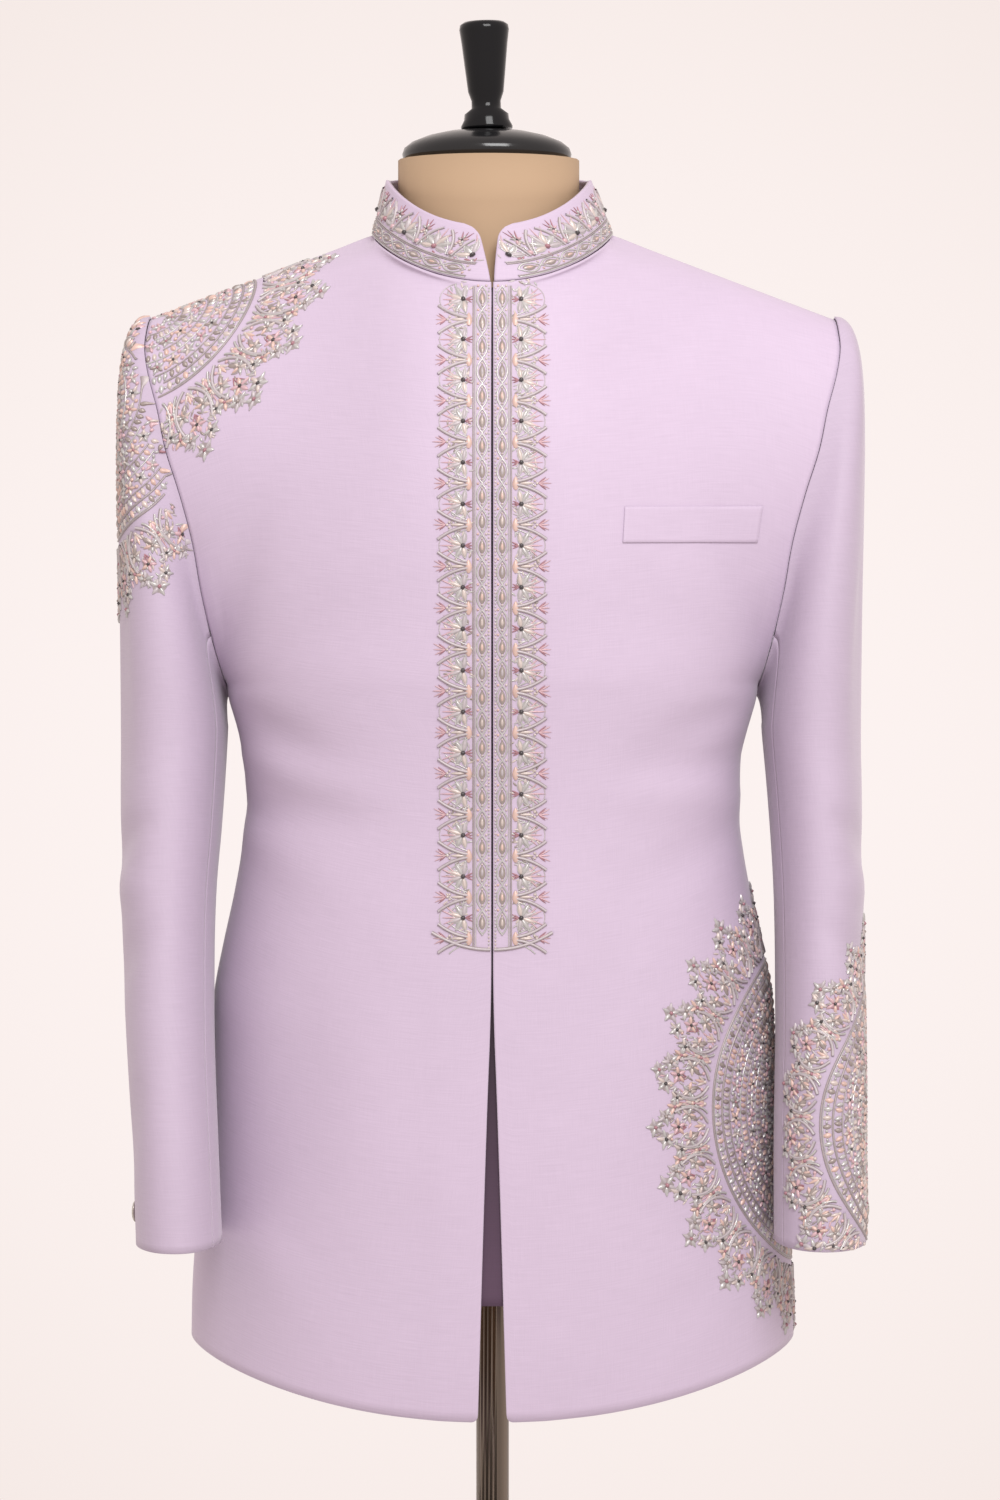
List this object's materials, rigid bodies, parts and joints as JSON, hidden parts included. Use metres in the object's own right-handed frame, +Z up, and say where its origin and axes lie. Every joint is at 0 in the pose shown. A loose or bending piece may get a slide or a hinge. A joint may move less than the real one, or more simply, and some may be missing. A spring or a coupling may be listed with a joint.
{
  "type": "bandhgala jacket on a dress form",
  "caption": "Lilac stand-collar jacket with beaded placket and medallions, worn open below the closure on a limbless dress form with a pole and round base.",
  "frame": {"origin": "centre of the stand's underside", "axes": "+Z up along the pole; the jacket's front faces -Y and the wearer's left is +X"},
  "size_m": [0.4962, 0.34, 1.1257],
  "materials": {
    "lilac_cloth": "fine slubbed weave, soft sheen",
    "plum_cloth": "matt plain weave",
    "form_jersey": "matt stretched jersey",
    "black_lacquer": "gloss lacquer on turned wood",
    "bronze_tube": "dark bronze plate, satin",
    "stand_metal": "dark satin",
    "button_metal": "pale antique metal"
  },
  "bodies": {
    "root": {"front_left": "lilac_cloth", "front_right": "lilac_cloth", "back": "lilac_cloth", "collar": "lilac_cloth", "breast_welt": "lilac_cloth", "sleeve_top_left": "lilac_cloth", "sleeve_top_right": "lilac_cloth", "sleeve_under_left": "lilac_cloth", "sleeve_under_right": "lilac_cloth", "underlap": "plum_cloth", "cuff_button_left": "button_metal", "cuff_button_right": "button_metal", "form_torso": "form_jersey", "neck_cap": "black_lacquer", "knob": "black_lacquer", "pole": "bronze_tube", "base": "stand_metal"}
  },
  "joints": []
}
